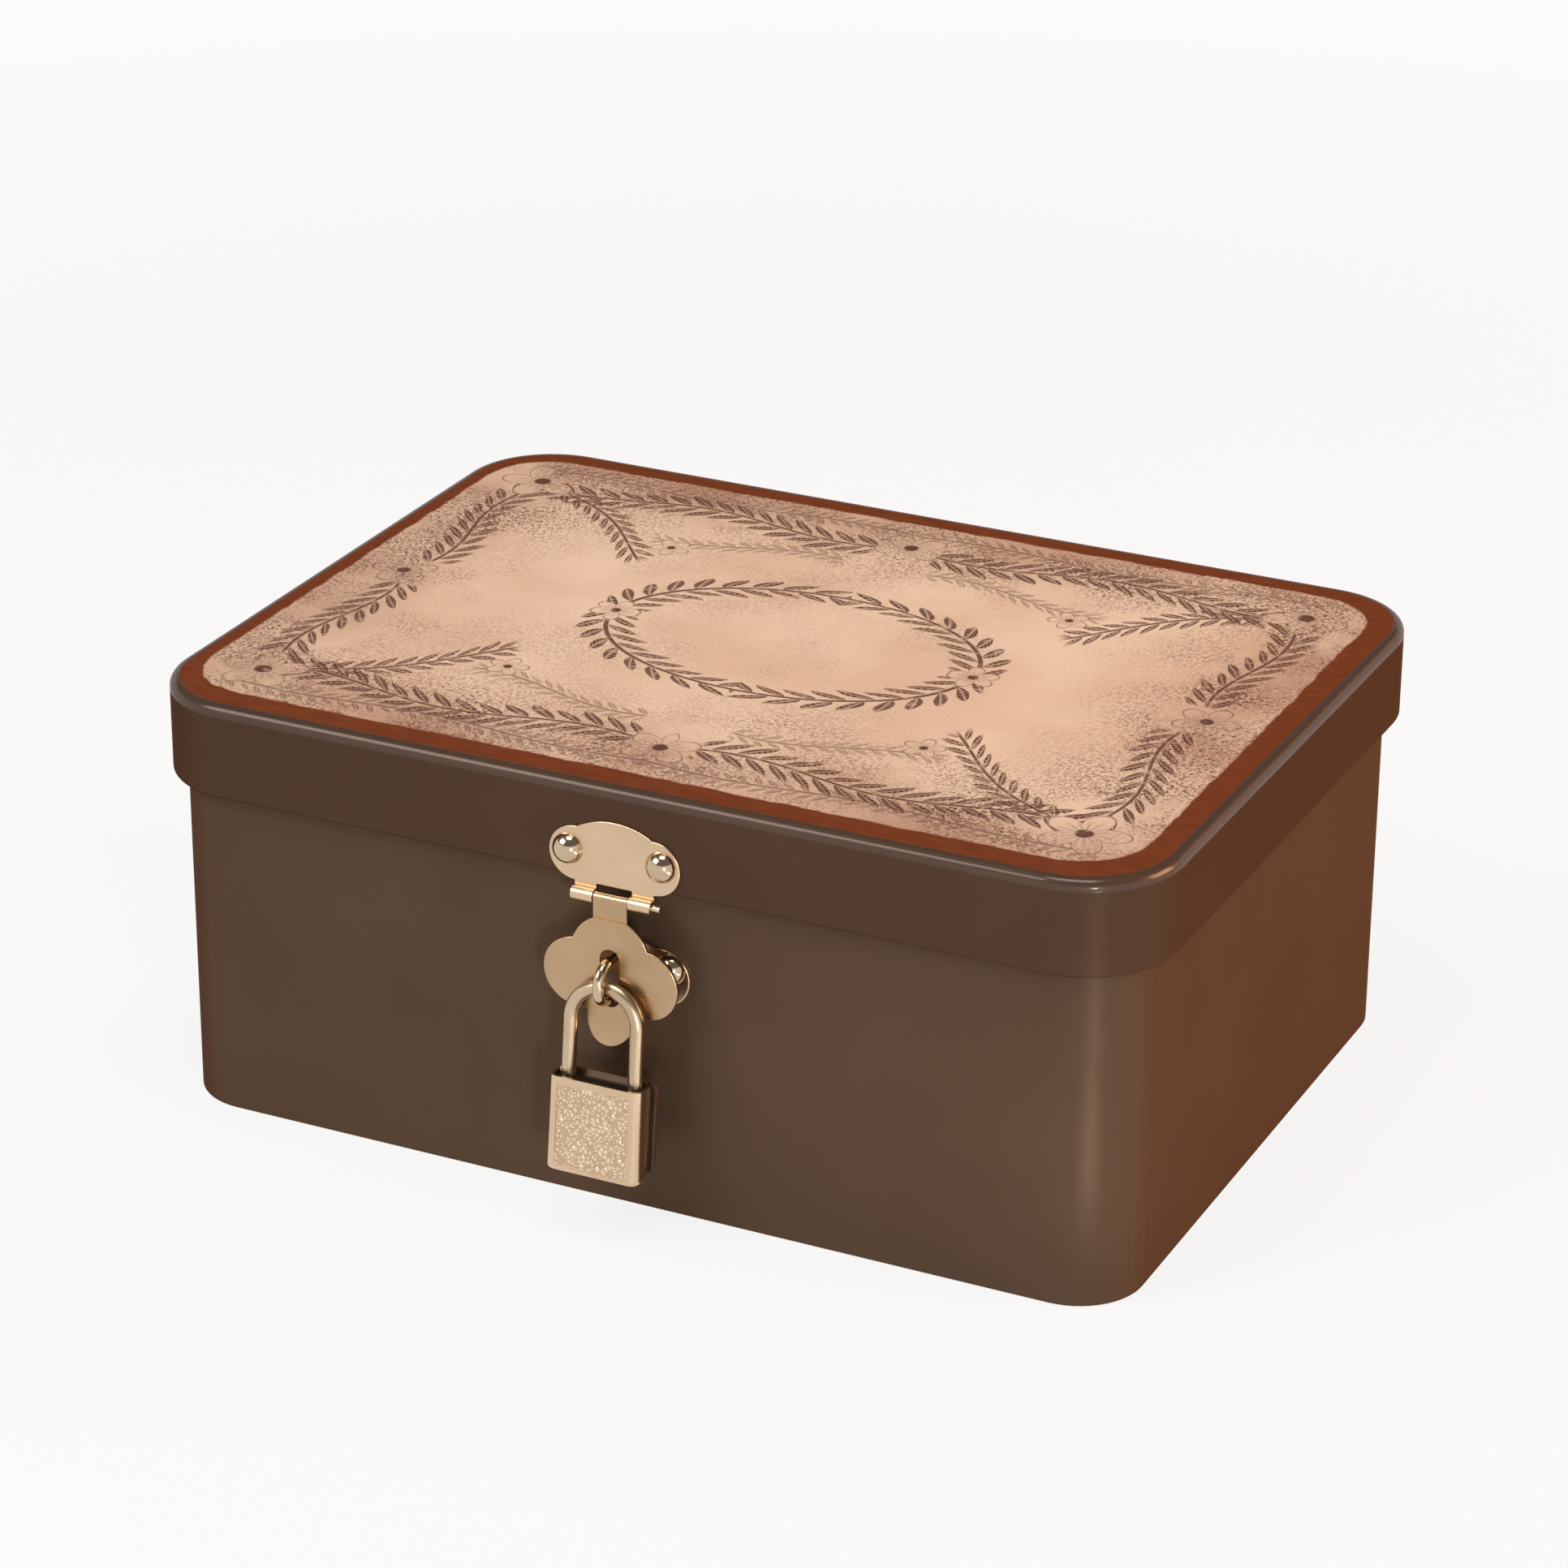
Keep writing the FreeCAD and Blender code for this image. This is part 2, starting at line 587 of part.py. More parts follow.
def make_staple():
    """The staple: a wire bent to a long eye, its two legs peened over inside the box."""
    inside = body_front + SHEET
    half = staple_spacing / 2
    ring = Part.Face(Part.Wire(Part.makeCircle(STAPLE_WIRE, Vector(0, eye_y, staple_z + half), Vector(0, 1, 0))))
    bend = ring.revolve(Vector(0, eye_y, staple_z), Vector(1, 0, 0), 180)
    shapes = [bend]
    for side in (-1, 1):
        leg = staple_z + side * half
        shapes.append(cylinder_y(STAPLE_WIRE, eye_y, inside + STAPLE_PEEN_HEIGHT, 0, leg))
        shapes.append(cylinder_y(STAPLE_PEEN, inside, inside + STAPLE_PEEN_HEIGHT, 0, leg))
    return fused(shapes)


def hung(shape):
    """Move a padlock piece from its own frame, with the crown at the origin, to where it hangs."""
    turned = shape.rotated(Vector(0, 0, 0), Vector(1, 0, 0), -PADLOCK_LEAN)
    return turned.translated(Vector(0, crown_y, crown_z))


def make_shackle():
    """The shackle: a bent rod with a latch notch in the short leg and a catch groove in the long one."""
    bend_z = -leg_x
    ring = Part.Face(Part.Wire(Part.makeCircle(SHACKLE_WIRE, Vector(leg_x, 0, bend_z), Vector(0, 0, 1))))
    shapes = [ring.revolve(Vector(0, 0, bend_z), Vector(0, -1, 0), 180)]
    for side, depth in ((-1, TOE_DEPTH), (1, HEEL_DEPTH)):
        leg = cylinder_z(SHACKLE_WIRE, core_top - depth, bend_z, side * leg_x, 0)
        tip = [edge for edge in leg.Edges if edge.BoundBox.ZMax < core_top - depth + 0.01]
        shapes.append(leg.makeChamfer(TIP_CHAMFER, tip))
    rod = fused(shapes)
    notch_floor = latch_tip - CORE_GAP / 2
    notch = box(notch_floor, 0, -2, 2, latch_low - NOTCH_PLAY, latch_top + LATCH_GAP)
    pin_depth = core_top - HEEL_PIN_DEPTH
    groove_high = pin_depth + HEEL_PIN + LATCH_GAP
    groove_low = pin_depth - HEEL_PIN - RELEASE - LATCH_GAP
    groove = box(0, leg_x - SHACKLE_WIRE + HEEL_PIN_BITE + LATCH_GAP, -2, 2, groove_low, groove_high)
    return hung(rod.cut([notch, groove]))


def case_block(side_gap, front, back, low, high):
    """The case's outer form, or the same drawn in by a gap: a block with round front and lower edges."""
    half = CASE_WIDTH / 2 - side_gap
    block = box(-half, half, front, back, low, high)
    upright = []
    foot = []
    for edge in block.Edges:
        middle = edge.CenterOfMass
        if abs(middle.y - front) < 1e-6 and abs(abs(middle.x) - half) < 1e-6:
            upright.append(edge)
    block = block.makeFillet(CASE_EDGE - side_gap, upright)
    if CASE_FOOT_EDGE > side_gap:
        for edge in block.Edges:
            if edge.BoundBox.ZMax < low + 1e-3 and edge.BoundBox.YMin < back - 1e-3:
                foot.append(edge)
        block = block.makeFillet(CASE_FOOT_EDGE - side_gap, foot)
    return block


def make_lock_front():
    """The front shell of the case: front, sides and bottom in one pressing, with a sunk panel for the grain."""
    back = case_front + FRONT_SHELL_DEPTH
    outside = case_block(0, case_front, back, case_low, case_top)
    inside = case_block(CASE_SHEET, case_front + CASE_SHEET, back + 1, case_low + CASE_SHEET, case_top + 1)
    panel_half = CASE_WIDTH / 2 - PANEL_SIDE
    panel = box(
        -panel_half, panel_half, case_front - 1, case_front + PANEL_SINK, case_low + PANEL_FOOT + CASE_FOOT_EDGE,
        case_top - PANEL_TOP,
    )
    keyhole = cylinder_z(PLUG_RADIUS + BORE_GAP, case_low - 1, case_low + 2, 0, 0)
    return hung(outside.cut([inside, panel, keyhole]))


def make_lock_back():
    """The back plate of the case, a little wider and taller than the core that it is pressed on to."""
    half = CASE_WIDTH / 2 + BACK_MARGIN
    plate = box(-half, half, core_back, CASE_DEPTH / 2, case_low + BACK_LIFT, case_top + BACK_RISE)
    corners = [edge for edge in plate.Edges if abs(edge.tangentAt(edge.FirstParameter).y) > 0.9]
    return hung(plate.makeFillet(BACK_CORNER, corners))


def make_lock_core():
    """The lock body inside the shells: bores for both legs, the key plug, the latch's slot and the catch pin."""
    gap = CASE_SHEET + CORE_GAP
    core = case_block(gap, case_front + gap, core_back, core_low, core_top)
    bore = SHACKLE_WIRE + BORE_GAP
    spring_floor = core_top - HEEL_DEPTH - SPRING_ROOM
    half_pocket = LATCH_WIDTH / 2 + LATCH_GAP
    half_nose = NOSE_WIDTH / 2 + LATCH_GAP
    nose_end = latch_tip + NOSE_LENGTH - LATCH_GAP
    pocket_low = latch_low - LATCH_GAP
    pocket_high = latch_top + LATCH_GAP
    cuts = [
        cylinder_z(bore, core_top - TOE_DEPTH - 1, core_top + 1, -leg_x, 0),
        cylinder_z(bore, spring_floor, core_top + 1, leg_x, 0),
        cylinder_z(PLUG_RADIUS + BORE_GAP, core_low - 1, pocket_low + LATCH_GAP, 0, 0),
        box(nose_end, latch_room_end, -half_pocket, half_pocket, pocket_low, pocket_high),
        box(-leg_x, nose_end, -half_nose, half_nose, pocket_low, pocket_high),
        cylinder_z(CRANK_RADIUS + CRANK_PIN + LATCH_GAP, pocket_low, pocket_high, 0, 0),
        cylinder_y(HEEL_PIN, -CASE_DEPTH, CASE_DEPTH, heel_pin_x(), core_top - HEEL_PIN_DEPTH),
    ]
    return hung(core.cut(cuts))


def heel_pin_x():
    """Where the catch pin crosses the core, beside the long leg."""
    return leg_x - SHACKLE_WIRE - HEEL_PIN + HEEL_PIN_BITE


def make_heel_pin():
    """The cross pin that keeps the long leg from leaving the core."""
    front = case_front + CASE_SHEET + CORE_GAP
    return hung(cylinder_y(HEEL_PIN, front, core_back, heel_pin_x(), core_top - HEEL_PIN_DEPTH))


def make_key_plug():
    """The key plug: a round plug with a keyway below and a crank pin above that pulls the latch."""
    top = latch_low - LATCH_GAP
    plug = cylinder_z(PLUG_RADIUS, case_low, top, 0, 0)
    crank = cylinder_z(CRANK_PIN, top - CRANK_HEIGHT, top + CRANK_HEIGHT, -crank_offset, crank_offset)
    half = KEYWAY_WIDTH / 2
    keyway = box(-half, half, -KEYWAY_LENGTH / 2, KEYWAY_LENGTH / 2, case_low - 1, case_low + KEYWAY_DEPTH)
    return hung(fused([plug, crank]).cut(keyway))


def make_latch():
    """The latch: a flat slide whose nose bites the short leg, with an open slot for the crank pin."""
    half = LATCH_WIDTH / 2
    half_nose = NOSE_WIDTH / 2
    nose_end = latch_tip + NOSE_LENGTH
    slide = box(nose_end, latch_end, -half, half, latch_low, latch_top)
    nose = box(latch_tip, nose_end, -half_nose, half_nose, latch_low, latch_top)
    half_slot = CRANK_PIN + CRANK_GAP
    slot = box(
        -crank_offset - half_slot, -crank_offset + half_slot, crank_offset - half_slot, half + 1, latch_low - 1,
        latch_top + 1,
    )
    return hung(fused([slide, nose]).cut(slot))


def make_latch_spring():
    """The small coil that pushes the latch home."""
    spring = coil(LATCH_SPRING_COIL, LATCH_SPRING_WIRE, LATCH_SPRING_TURNS, LATCH_SPRING_ROOM - 2 * FIT)
    spring = spring.rotated(Vector(0, 0, 0), Vector(0, 1, 0), 90)
    return hung(spring.translated(Vector(latch_end + FIT, 0, (latch_low + latch_top) / 2)))


def make_shackle_spring():
    """The coil under the long leg that lifts the shackle when the latch lets go."""
    floor = core_top - HEEL_DEPTH - SPRING_ROOM
    spring = coil(SHACKLE_SPRING_COIL, SHACKLE_SPRING_WIRE, SHACKLE_SPRING_TURNS, SPRING_ROOM - 2 * FIT)
    return hung(spring.translated(Vector(leg_x, 0, floor + FIT)))


nodes = {
    "body_wall": make_body_wall(),
    "base_panel": make_base_panel(),
    "hinge_clip_left": make_hinge_clip(-1),
    "hinge_clip_right": make_hinge_clip(1),
    "hinge_rivets": make_hinge_rivets(),
    "staple_plate": make_staple_plate(),
    "staple": make_staple(),
    "staple_rivet_left": make_front_rivet(-STAPLE_RIVET_X, staple_plate_front, staple_rivet_z),
    "staple_rivet_right": make_front_rivet(STAPLE_RIVET_X, staple_plate_front, staple_rivet_z),
    "lid_shell": make_lid_shell(),
    "hinge_wire_left": make_hinge_wire(-1),
    "hinge_wire_right": make_hinge_wire(1),
    "hasp_plate": make_hasp_plate(),
    "hasp_pin": make_hasp_pin(),
    "hasp_rivet_left": make_front_rivet(-RIVET_X, plate_front, lid_rivet_z()),
    "hasp_rivet_right": make_front_rivet(RIVET_X, plate_front, lid_rivet_z()),
    "hasp_leaf": make_hasp_leaf(),
    "shackle": make_shackle(),
    "lock_front_shell": make_lock_front(),
    "lock_back_plate": make_lock_back(),
    "lock_core": make_lock_core(),
    "lock_heel_pin": make_heel_pin(),
    "key_plug": make_key_plug(),
    "latch": make_latch(),
    "latch_spring": make_latch_spring(),
    "shackle_spring": make_shackle_spring(),
}

whole = Part.Compound(list(nodes.values())).optimalBoundingBox(False, False)
shift = Vector(0, -(whole.YMin + whole.YMax) / 2, 0)
os.makedirs("parts", exist_ok=True)
for name, shape in nodes.items():
    shape.translated(shift).exportStep("parts/" + name + ".step")

down = Rotation(Vector(1, 0, 0), -PADLOCK_LEAN).multVec(Vector(0, 0, -1))
print("shift along Y", round(shift.y, 4))
print("lid hinge", round(hinge_y + shift.y, 4), round(hinge_z, 4))
print("hasp pin", round(pin_y + shift.y, 4), round(pin_z, 4))
print("crown", round(crown_y + shift.y, 4), round(crown_z, 4), "down the legs", down)
print("latch travel", round(latch_travel, 4), "release", RELEASE)
print("extent", round(whole.XLength, 2), round(whole.YLength, 2), round(whole.ZMin, 3), round(whole.ZMax, 2))
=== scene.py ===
import math

import bpy
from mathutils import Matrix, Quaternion, Vector


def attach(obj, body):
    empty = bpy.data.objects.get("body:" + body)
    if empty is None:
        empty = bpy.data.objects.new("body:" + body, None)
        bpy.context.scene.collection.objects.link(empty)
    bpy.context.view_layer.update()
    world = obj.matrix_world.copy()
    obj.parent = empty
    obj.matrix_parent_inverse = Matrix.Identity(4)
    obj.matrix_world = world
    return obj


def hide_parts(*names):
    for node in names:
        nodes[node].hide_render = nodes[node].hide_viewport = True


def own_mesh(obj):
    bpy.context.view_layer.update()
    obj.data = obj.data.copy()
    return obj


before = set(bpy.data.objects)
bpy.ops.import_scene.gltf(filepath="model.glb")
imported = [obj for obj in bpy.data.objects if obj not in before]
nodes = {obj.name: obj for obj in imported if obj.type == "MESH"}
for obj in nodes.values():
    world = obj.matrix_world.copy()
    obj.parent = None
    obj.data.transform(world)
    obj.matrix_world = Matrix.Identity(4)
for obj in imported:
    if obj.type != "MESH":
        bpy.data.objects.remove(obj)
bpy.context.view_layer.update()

bpy.ops.object.select_all(action="DESELECT")


# Body wall and bottom: one strip of tinplate bent to a round-cornered box and locked at the back, with a
# pressed bottom lying on its turned-in foot. Outside it is roller-coated with dark brown satin lacquer,
# inside the tin keeps only a clear, slightly golden varnish.
LACQUER = (92, 73, 59)
LACQUER_DEEP = (89, 70, 56)
LACQUER_SHEEN = (180, 112, 70)
LACQUER_METAL = 0.25
LACQUER_ROUGHNESS = 0.35
TIN = (192, 184, 168)
TIN_SHADE = (182, 173, 156)
TIN_MORE_METAL = 0.65
TIN_LESS_ROUGHNESS = 0.05
BODY_HALF = (120.6, 87.5)
BODY_CORNER = 16.2
BOX_MIDDLE = 6.895
SKIN_DEPTH = (0.12, 0.22)
BODY_ROLL = (102.0, 101.6)


def paint(red, green, blue):
    """A paint chip's red, green and blue, 0 to 255, as the light that a shader takes."""
    chip = []
    for share in (red / 255, green / 255, blue / 255):
        chip.append(share / 12.92 if share <= 0.04045 else ((share + 0.055) / 1.055) ** 2.4)
    return (*chip, 1.0)


class Level:
    """A value on a shader socket. Arithmetic with levels adds Math nodes."""

    def __init__(self, finish, socket):
        self.finish = finish
        self.socket = socket

    def math(self, operation, *others):
        return self.finish.node("Math", {"operation": operation}, dict(enumerate((self, *others))))

    def __add__(self, other):
        return self.math("ADD", other)

    def __sub__(self, other):
        return self.math("SUBTRACT", other)

    def __rsub__(self, other):
        return self.finish.node("Math", {"operation": "SUBTRACT"}, {0: other, 1: self})

    def __mul__(self, other):
        return self.math("MULTIPLY", other)

    def __truediv__(self, other):
        return self.math("DIVIDE", other)

    def __abs__(self):
        return self.math("ABSOLUTE")

    __radd__ = __add__
    __rmul__ = __mul__

    def edge(self, start, end):
        """0 up to start, 1 from end, and a soft change between them."""
        spans = {"Value": self, "From Min": start, "From Max": end}
        return self.finish.node("MapRange", {"interpolation_type": "SMOOTHSTEP"}, spans)


class Finish:
    """A surface finish, built up node by node on its own material."""

    def __init__(self, name):
        self.material = bpy.data.materials.new(name)
        self.material.use_nodes = True
        self.tree = self.material.node_tree
        self.shader = self.tree.nodes["Principled BSDF"]
        place = self.node("TexCoord", {}, {}, "Object")
        self.mm = self.node("VectorMath", {"operation": "SCALE"}, {0: place, "Scale": 1000.0})

    def node(self, kind, settings, sockets, output=0):
        """Add a node with its settings and sockets, and give one of its outputs."""
        made = self.tree.nodes.new("ShaderNode" + kind)
        for name, value in settings.items():
            setattr(made, name, value)
        for name, value in sockets.items():
            self.set(made.inputs[name], value)
        return Level(self, made.outputs[output])

    def set(self, socket, value):
        """Link a level to a socket, or write a plain value on it."""
        if isinstance(value, Level):
            self.tree.links.new(value.socket, socket)
        else:
            socket.default_value = value

    def surface(self, **sockets):
        """Set the shader's own sockets, by their names with underscores for spaces."""
        for name, value in sockets.items():
            self.set(self.shader.inputs[name.replace("_", " ")], value)

    def mix(self, share, first, second):
        """A colour between two colours."""
        return self.node("Mix", {"data_type": "RGBA"}, {0: share, 6: first, 7: second}, 2)

    def axes(self):
        """The place on the piece, as three levels in millimetres."""
        return [self.node("SeparateXYZ", {}, {0: self.mm}, axis) for axis in (0, 1, 2)]

    def noise(self, scale, detail=2.0, stretch=None):
        """Even noise from 0 to 1, with so many lumps to the millimetre."""
        vector = self.mm
        if stretch:
            vector = self.node("VectorMath", {"operation": "MULTIPLY"}, {0: self.mm, 1: stretch})
        return self.node("TexNoise", {}, {"Vector": vector, "Scale": scale, "Detail": detail})

    def bump(self, height, depth, strength=1.0):
        """A bump of so many millimetres."""
        sockets = {"Height": height, "Distance": depth / 1000, "Strength": strength}
        return self.node("Bump", {}, sockets, "Normal")

    def inset(self, middle_y, half_x, half_y, corner):
        """How far inside a round-cornered rectangle the place lies, in millimetres."""
        x, y = self.axes()[:2]
        over_x = abs(x) - (half_x - corner)
        over_y = abs(y - middle_y) - (half_y - corner)
        out_x = over_x.math("MAXIMUM", 0.0)
        out_y = over_y.math("MAXIMUM", 0.0)
        around = (out_x * out_x + out_y * out_y).math("SQRT")
        return corner - around - over_x.math("MAXIMUM", over_y).math("MINIMUM", 0.0)

    def wear(self, piece):
        """Give this finish to a piece in place of what it had."""
        piece.data.materials.clear()
        piece.data.materials.append(self.material)


def lacquered(name, colour, deep):
    """Pearl-brown satin lacquer with its slight flow marks. Gives the finish and the lacquer's colour."""
    finish = Finish(name)
    flow = finish.noise(0.03, 4.0).edge(0.3, 0.7)
    coat = finish.mix(flow, paint(*colour), paint(*deep))
    peel = finish.noise(1.1, 2.0) + 0.35 * finish.noise(4.0, 1.0)
    finish.surface(Normal=finish.bump(peel, 0.006, 0.5))
    finish.surface(Specular_IOR_Level=0.0, Specular_Tint=paint(*LACQUER_SHEEN))
    return finish, coat


def varnished_tin(finish):
    """The colour of bare tinplate under clear varnish, with its faint rolling marks."""
    streaks = finish.noise(2.2, 3.0, (0.02, 1.0, 1.0))
    return finish.mix(streaks, paint(*TIN), paint(*TIN_SHADE))


wall_finish, wall_lacquer = lacquered("brown_lacquer_on_wall", LACQUER, LACQUER_DEEP)
depth_in = wall_finish.inset(BOX_MIDDLE, *BODY_HALF, BODY_CORNER)
height = wall_finish.axes()[2]
bare = depth_in.edge(*SKIN_DEPTH) * height.edge(*BODY_ROLL)
wall_finish.surface(Base_Color=wall_finish.mix(bare, wall_lacquer, varnished_tin(wall_finish)))
wall_finish.surface(Metallic=LACQUER_METAL + bare * TIN_MORE_METAL)
wall_finish.surface(Roughness=LACQUER_ROUGHNESS - bare * TIN_LESS_ROUGHNESS)
wall_finish.wear(nodes["body_wall"])

bottom_finish, bottom_lacquer = lacquered("brown_lacquer_on_bottom", LACQUER, LACQUER_DEEP)
facing = bottom_finish.node("TexCoord", {}, {}, "Normal")
upward = bottom_finish.node("SeparateXYZ", {}, {0: facing}, 2).edge(0.0, 0.2)
bottom_tin = varnished_tin(bottom_finish)
bottom_finish.surface(Base_Color=bottom_finish.mix(upward, bottom_lacquer, bottom_tin))
bottom_finish.surface(Metallic=LACQUER_METAL + upward * TIN_MORE_METAL)
bottom_finish.surface(Roughness=LACQUER_ROUGHNESS - upward * TIN_LESS_ROUGHNESS)
bottom_finish.wear(nodes["base_panel"])


# Wire hinges: two strips riveted to the back of the wall and rolled round short steel wires, which are
# caught in the rolled edge of the lid. Strips are lacquered with the box, the wires are bright drawn steel.
STEEL = (178, 174, 168)
STEEL_SHADE = (138, 134, 130)
HINGE_ROUGHNESS = 0.36

hinge_finish, hinge_lacquer = lacquered("brown_lacquer_on_hinges", LACQUER, LACQUER_DEEP)
hinge_finish.surface(Base_Color=hinge_lacquer, Metallic=LACQUER_METAL, Roughness=HINGE_ROUGHNESS)
for name in ("hinge_clip_left", "hinge_clip_right", "hinge_rivets"):
    hinge_finish.wear(nodes[name])

steel_finish = Finish("drawn_steel_wire")
drawn = steel_finish.noise(1.5, 3.0, (0.1, 1.0, 1.0))
steel_finish.surface(Base_Color=steel_finish.mix(drawn, paint(*STEEL), paint(*STEEL_SHADE)))
steel_finish.surface(Metallic=1.0, Roughness=0.2 + drawn * 0.2)
for name in ("hinge_wire_left", "hinge_wire_right", "lock_heel_pin", "shackle_spring"):
    steel_finish.wear(nodes[name])


# Lid: drawn from one sheet, its lower edge rolled in. The skirt is lacquered like the body. The top is
# printed: a hand-brushed russet edge round a field of aged paper, with leafy stems, a wreath and flowers.
LID_HALF = (125.0, 91.9)
LID_CORNER = 22.8
LID_TOP = 105.7
LID_LACQUER = (81, 62, 49)
LID_LACQUER_DEEP = (78, 59, 47)
RUSSET = (116, 62, 38)
RUSSET_DEEP = (106, 55, 34)
PAPER = (228, 200, 178)
PAPER_AGED = (212, 178, 154)
PAPER_BROWN = (166, 128, 108)
INK = (88, 54, 46)
FIELD_HALF = (117.7, 83.4)
FIELD_MIDDLE = (-1.35, 0.7)
FIELD_CORNER = 17.0
PRINT_START = (2.3, 2.7)
CEILING_START = (2.6, 2.9)
HEM_TOP = (85.2, 85.6)
BEND_TOP = (103.3, 103.0)
RIM_START = (102.7, 103.3)
RIM_COAT = 0.55
PRINT_MORE_ROUGHNESS = 0.17
LONG_STEM_Y = 67.0
SHORT_STEM_X = 103.0
HEM_STEM_Y = 76.0
FERN_Y = 50.0
SPRAY_FOOT = (100.0, 66.0)
SPRAY_TILT = 36
WREATH_RADIUS = 31.0
WREATH_STRETCH = 1.5
FLOWERS = ((103.0, 68.5, 11.0, 0.4), (0.0, 68.0, 9.5, 1.3), (104.5, 0.0, 8.5, 0.0),
           (46.5, 0.0, 6.5, 1.9), (53.0, 42.0, 5.5, 0.9))


def leafy_stem(along, across, pitch, leaf, width, lean):
    """Ink of a stem with leaves on both sides that lean forwards by so many degrees."""
    finish = along.finish
    slant = math.radians(lean)
    side = across.math("SIGN")
    away = abs(across)
    row = (along - away / math.tan(slant)) / pitch + side * 0.25
    number = row.math("FLOOR")
    spot = finish.node("CombineXYZ", {}, {0: number, 1: side})
    chance = finish.node("TexWhiteNoise", {"noise_dimensions": "2D"}, {"Vector": spot}, "Value")
    share = away / (math.sin(slant) * leaf) / (0.72 + chance * 0.28)
    rib = (row - number - 0.5) * (pitch * math.sin(slant)) + share * share * (chance - 0.5) * 1.6
    belly = share * (1 - share) * (4 * width)
    blade = (belly - abs(rib)).edge(0.0, 0.22)
    vein = abs(rib).edge(0.08, 0.3)
    lines = ((away + abs(rib) * 0.8) * 7.0).math("SINE").edge(-0.9, 0.7)
    inked = blade * (0.42 + vein * (0.3 + lines * 0.28))
    return inked.math("MAXIMUM", away.edge(0.55, 0.3) * 0.9)


def flower(across, up, radius, turn):
    """Ink of a five-petalled flower round a place."""
    out = (across * across + up * up).math("SQRT")
    angle = up.math("ARCTAN2", across) * 2.5 + turn
    petal = abs(angle.math("COSINE"))
    rim = (0.5 + petal * 0.5) * radius - out
    body = rim.edge(0.0, 0.25)
    line = rim.edge(0.9, 0.25) * body
    streaks = ((angle * 6.0).math("SINE") * 0.5 + 0.5) * out.edge(radius * 0.85, radius * 0.2)
    heart = out.edge(radius * 0.24, radius * 0.16)
    inked = (line * 0.75).math("MAXIMUM", body * streaks * 0.45)
    return inked.math("MAXIMUM", heart * 0.95), body


lid_finish, lid_lacquer = lacquered("brown_lacquer_and_print_on_lid", LID_LACQUER, LID_LACQUER_DEEP)
lid_x, lid_y, lid_z = lid_finish.axes()
lid_in = lid_finish.inset(BOX_MIDDLE, *LID_HALF, LID_CORNER)
field_x = lid_x - FIELD_MIDDLE[0]
field_y = lid_y - BOX_MIDDLE - FIELD_MIDDLE[1]
over_x = abs(field_x) - (FIELD_HALF[0] - FIELD_CORNER)
over_y = abs(field_y) - (FIELD_HALF[1] - FIELD_CORNER)
past_x = over_x.math("MAXIMUM", 0.0)
past_y = over_y.math("MAXIMUM", 0.0)
field_in = FIELD_CORNER - (past_x * past_x + past_y * past_y).math("SQRT")
field_in = field_in - over_x.math("MAXIMUM", over_y).math("MINIMUM", 0.0)

stain = lid_finish.noise(0.022, 5.0).edge(0.32, 0.68)
fibre = lid_finish.noise(0.9, 3.0).edge(0.3, 0.7)
brown = field_in.edge(34.0, 0.0) * (0.35 + stain * 0.65)
paper = lid_finish.mix(stain * 0.75 + fibre * 0.2, paint(*PAPER), paint(*PAPER_AGED))
paper = lid_finish.mix(brown * 0.75, paper, paint(*PAPER_BROWN))

mirror_x = abs(field_x)
mirror_y = abs(field_y)
swell = (mirror_x * 0.085).math("SINE") * 3.0
long_stem = leafy_stem(mirror_x, mirror_y - LONG_STEM_Y + swell, 6.0, 12.5, 1.35, 40)
long_stem = long_stem * mirror_x.edge(7.0, 9.0) * mirror_x.edge(104.0, 98.0)
sway = (mirror_y * 0.1).math("SINE") * 2.5
short_stem = leafy_stem(mirror_y, mirror_x - SHORT_STEM_X + sway, 5.6, 11.5, 1.25, 40)
short_stem = short_stem * mirror_y.edge(7.0, 9.0) * mirror_y.edge(68.0, 64.0)
hem_stem = leafy_stem(mirror_x * -1.0, mirror_y - HEM_STEM_Y - swell * 0.5, 3.6, 6.5, 0.75, 48) * 0.75
hem_stem = hem_stem * mirror_x.edge(110.0, 106.0)
tilt = math.radians(SPRAY_TILT)
foot_x, foot_y = SPRAY_FOOT
spray_along = (foot_x - mirror_x) * math.cos(tilt) + (foot_y - mirror_y) * math.sin(tilt)
spray_across = (foot_y - mirror_y) * math.cos(tilt) - (foot_x - mirror_x) * math.sin(tilt)
spray_across = spray_across + (spray_along * 0.07).math("SINE") * 4.0
spray = leafy_stem(spray_along, spray_across, 5.0, 9.5, 1.1, 38)
spray = spray * spray_along.edge(6.0, 8.0) * spray_along.edge(58.0, 54.0)
ring_x = mirror_x / WREATH_STRETCH
ring_out = (ring_x * ring_x + mirror_y * mirror_y).math("SQRT")
ring_turn = mirror_y.math("ARCTAN2", ring_x)
wreath = leafy_stem(ring_turn * WREATH_RADIUS, ring_out - WREATH_RADIUS, 5.2, 9.0, 1.2, 44)
wreath = wreath * ring_turn.edge(0.06, 0.1)

ink = long_stem.math("MAXIMUM", short_stem).math("MAXIMUM", spray).math("MAXIMUM", wreath)
ink = ink.math("MAXIMUM", hem_stem)
fern = leafy_stem(mirror_x, mirror_y - FERN_Y - swell * 1.4, 3.8, 7.0, 0.75, 40) * 0.7
ink = ink.math("MAXIMUM", fern * mirror_x.edge(10.0, 12.0) * mirror_x.edge(62.0, 58.0))
for flower_x, flower_y, radius, turn in FLOWERS:
    inked, shape = flower(mirror_x - flower_x, mirror_y - flower_y, radius, turn)
    ink = (ink * (1 - shape)).math("MAXIMUM", inked)

